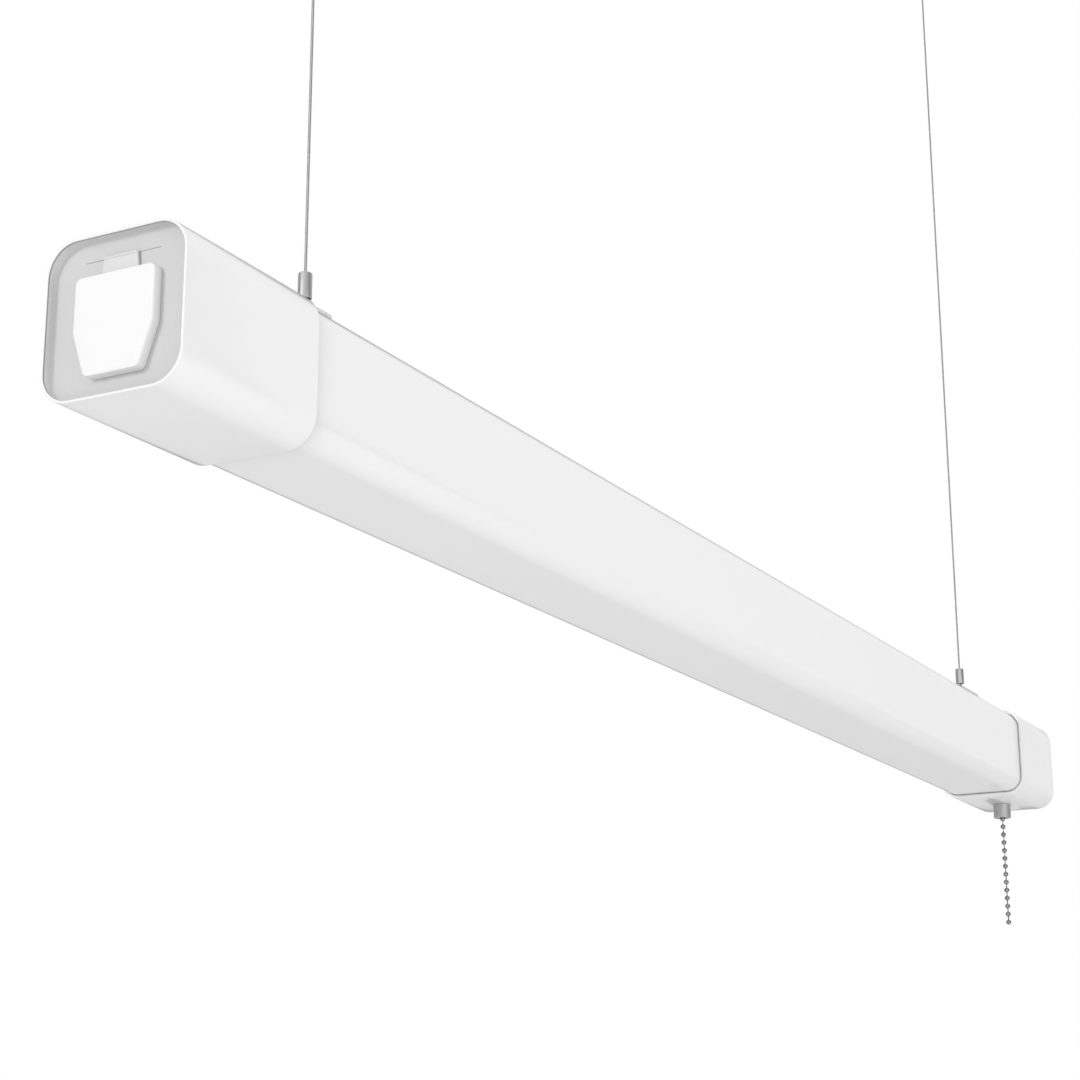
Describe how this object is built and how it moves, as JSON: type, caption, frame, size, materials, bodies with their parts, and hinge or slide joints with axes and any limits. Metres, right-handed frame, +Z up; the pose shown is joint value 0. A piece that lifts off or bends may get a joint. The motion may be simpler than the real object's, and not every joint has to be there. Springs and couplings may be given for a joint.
{
  "type": "hanging shop light",
  "caption": "Long square-section LED shop light with opal lens and end caps, hung on two thin wires, with an outlet under a soft cover and a bead pull chain.",
  "frame": {"origin": "centre of the four ceiling screw holes, on the ceiling plane", "axes": "+X along the light from the outlet end to the pull chain end, +Z up"},
  "size_m": [1.22, 0.07, 0.8551],
  "materials": {
    "cap_plastic": "satin white",
    "opal": "satin opal",
    "cover_rubber": "smooth white",
    "spine": "anodised",
    "tray_paint": "white gloss paint",
    "board": "white solder mask",
    "phosphor": "silicone",
    "driver_case": "potted case",
    "block_plastic": "matt",
    "insulation": "wire insulation",
    "screw_steel": "zinc plated",
    "outlet_plastic": "smooth",
    "contact_brass": "spring brass",
    "switch_plastic": "matt",
    "collar_plate": "nickel plated",
    "chain_plate": "nickel plated",
    "gland_plastic": "satin",
    "hanger_steel": "zinc plated",
    "rope_steel": "stranded",
    "crimp_plate": "satin"
  },
  "bodies": {
    "ceiling": {"near_ceiling_eye": "hanger_steel", "far_ceiling_eye": "hanger_steel"},
    "near_link": {"near_ceiling_ring": "hanger_steel"},
    "near_wire": {"near_upper_crimp": "crimp_plate", "near_upper_eye": "rope_steel", "near_wire_rope": "rope_steel", "near_lower_eye": "rope_steel", "near_lower_crimp": "crimp_plate", "near_bail": "hanger_steel"},
    "housing": {"near_cap": "cap_plastic", "far_cap": "cap_plastic", "opal_lens": "opal", "top_channel": "spine", "gear_tray": "tray_paint", "left_led_board": "board", "left_led_chips": "phosphor", "right_led_board": "board", "right_led_chips": "phosphor", "led_driver": "driver_case", "terminal_block": "block_plastic", "through_wires": "insulation", "cap_screws": "screw_steel", "clip_screws": "screw_steel", "tray_screws": "screw_steel", "link_outlet": "outlet_plastic", "outlet_contacts": "contact_brass", "outlet_screws": "screw_steel", "cover_anchor": "cover_rubber", "pull_switch": "switch_plastic", "switch_collar": "collar_plate", "cord_gland": "gland_plastic", "gland_nut": "gland_plastic", "near_hanger_clip": "hanger_steel", "far_hanger_clip": "hanger_steel"},
    "cover": {"socket_cover": "cover_rubber"},
    "chain_a": {"chain_upper": "chain_plate"},
    "chain_b": {"chain_second": "chain_plate"},
    "chain_c": {"chain_third": "chain_plate"},
    "chain_d": {"chain_end": "chain_plate"},
    "far_wire": {"far_upper_crimp": "crimp_plate", "far_upper_eye": "rope_steel", "far_wire_rope": "rope_steel", "far_lower_eye": "rope_steel", "far_lower_crimp": "crimp_plate", "far_bail": "hanger_steel"},
    "far_link": {"far_ceiling_ring": "hanger_steel"}
  },
  "joints": [
    {"name": "near_sway", "type": "hinge", "parent": "ceiling", "child": "near_link", "pos_m": [-0.476, 0, -0.0155], "axis": [1, 0, 0], "range_deg": [-20, 20]},
    {"name": "far_sway", "type": "hinge", "parent": "ceiling", "child": "far_link", "pos_m": [0.476, 0, -0.0155], "axis": [1, 0, 0], "range_deg": [-20, 20]},
    {"name": "near_swing", "type": "hinge", "parent": "near_link", "child": "near_wire", "pos_m": [-0.476, 0, -0.0267], "axis": [0, 1, 0], "range_deg": [-20, 20]},
    {"name": "housing_level", "type": "hinge", "parent": "near_wire", "child": "housing", "pos_m": [-0.476, 0, -0.6842], "axis": [0, 1, 0], "range_deg": [-20, 20]},
    {"name": "far_swing", "type": "hinge", "parent": "housing", "child": "far_wire", "pos_m": [0.476, 0, -0.6842], "axis": [0, 1, 0], "range_deg": [-20, 20]},
    {"name": "cover_strap", "type": "hinge", "parent": "housing", "child": "cover", "pos_m": [-0.6031, 0, -0.6949], "axis": [0, 1, 0], "range_deg": [0, 120]},
    {"name": "chain_pull", "type": "slide", "parent": "housing", "child": "chain_a", "axis": [0, 0, -1], "range_m": [0, 0.008], "stiffness_N_per_m": 300, "springref_m": -0.003},
    {"name": "chain_bend_a", "type": "hinge", "parent": "chain_a", "child": "chain_b", "pos_m": [0.575, 0, -0.77343], "axis": [0, 1, 0], "range_deg": [-20, 20]},
    {"name": "chain_bend_b", "type": "hinge", "parent": "chain_b", "child": "chain_c", "pos_m": [0.575, 0, -0.79995], "axis": [1, 0, 0], "range_deg": [-20, 20]},
    {"name": "chain_bend_c", "type": "hinge", "parent": "chain_c", "child": "chain_d", "pos_m": [0.575, 0, -0.82647], "axis": [0, 1, 0], "range_deg": [-20, 20]}
  ],
  "couplings": [
    {"joint": "far_sway", "follows": "near_sway", "ratio": 1},
    {"joint": "housing_level", "follows": "near_swing", "ratio": -1},
    {"joint": "far_swing", "follows": "near_swing", "ratio": 1}
  ]
}
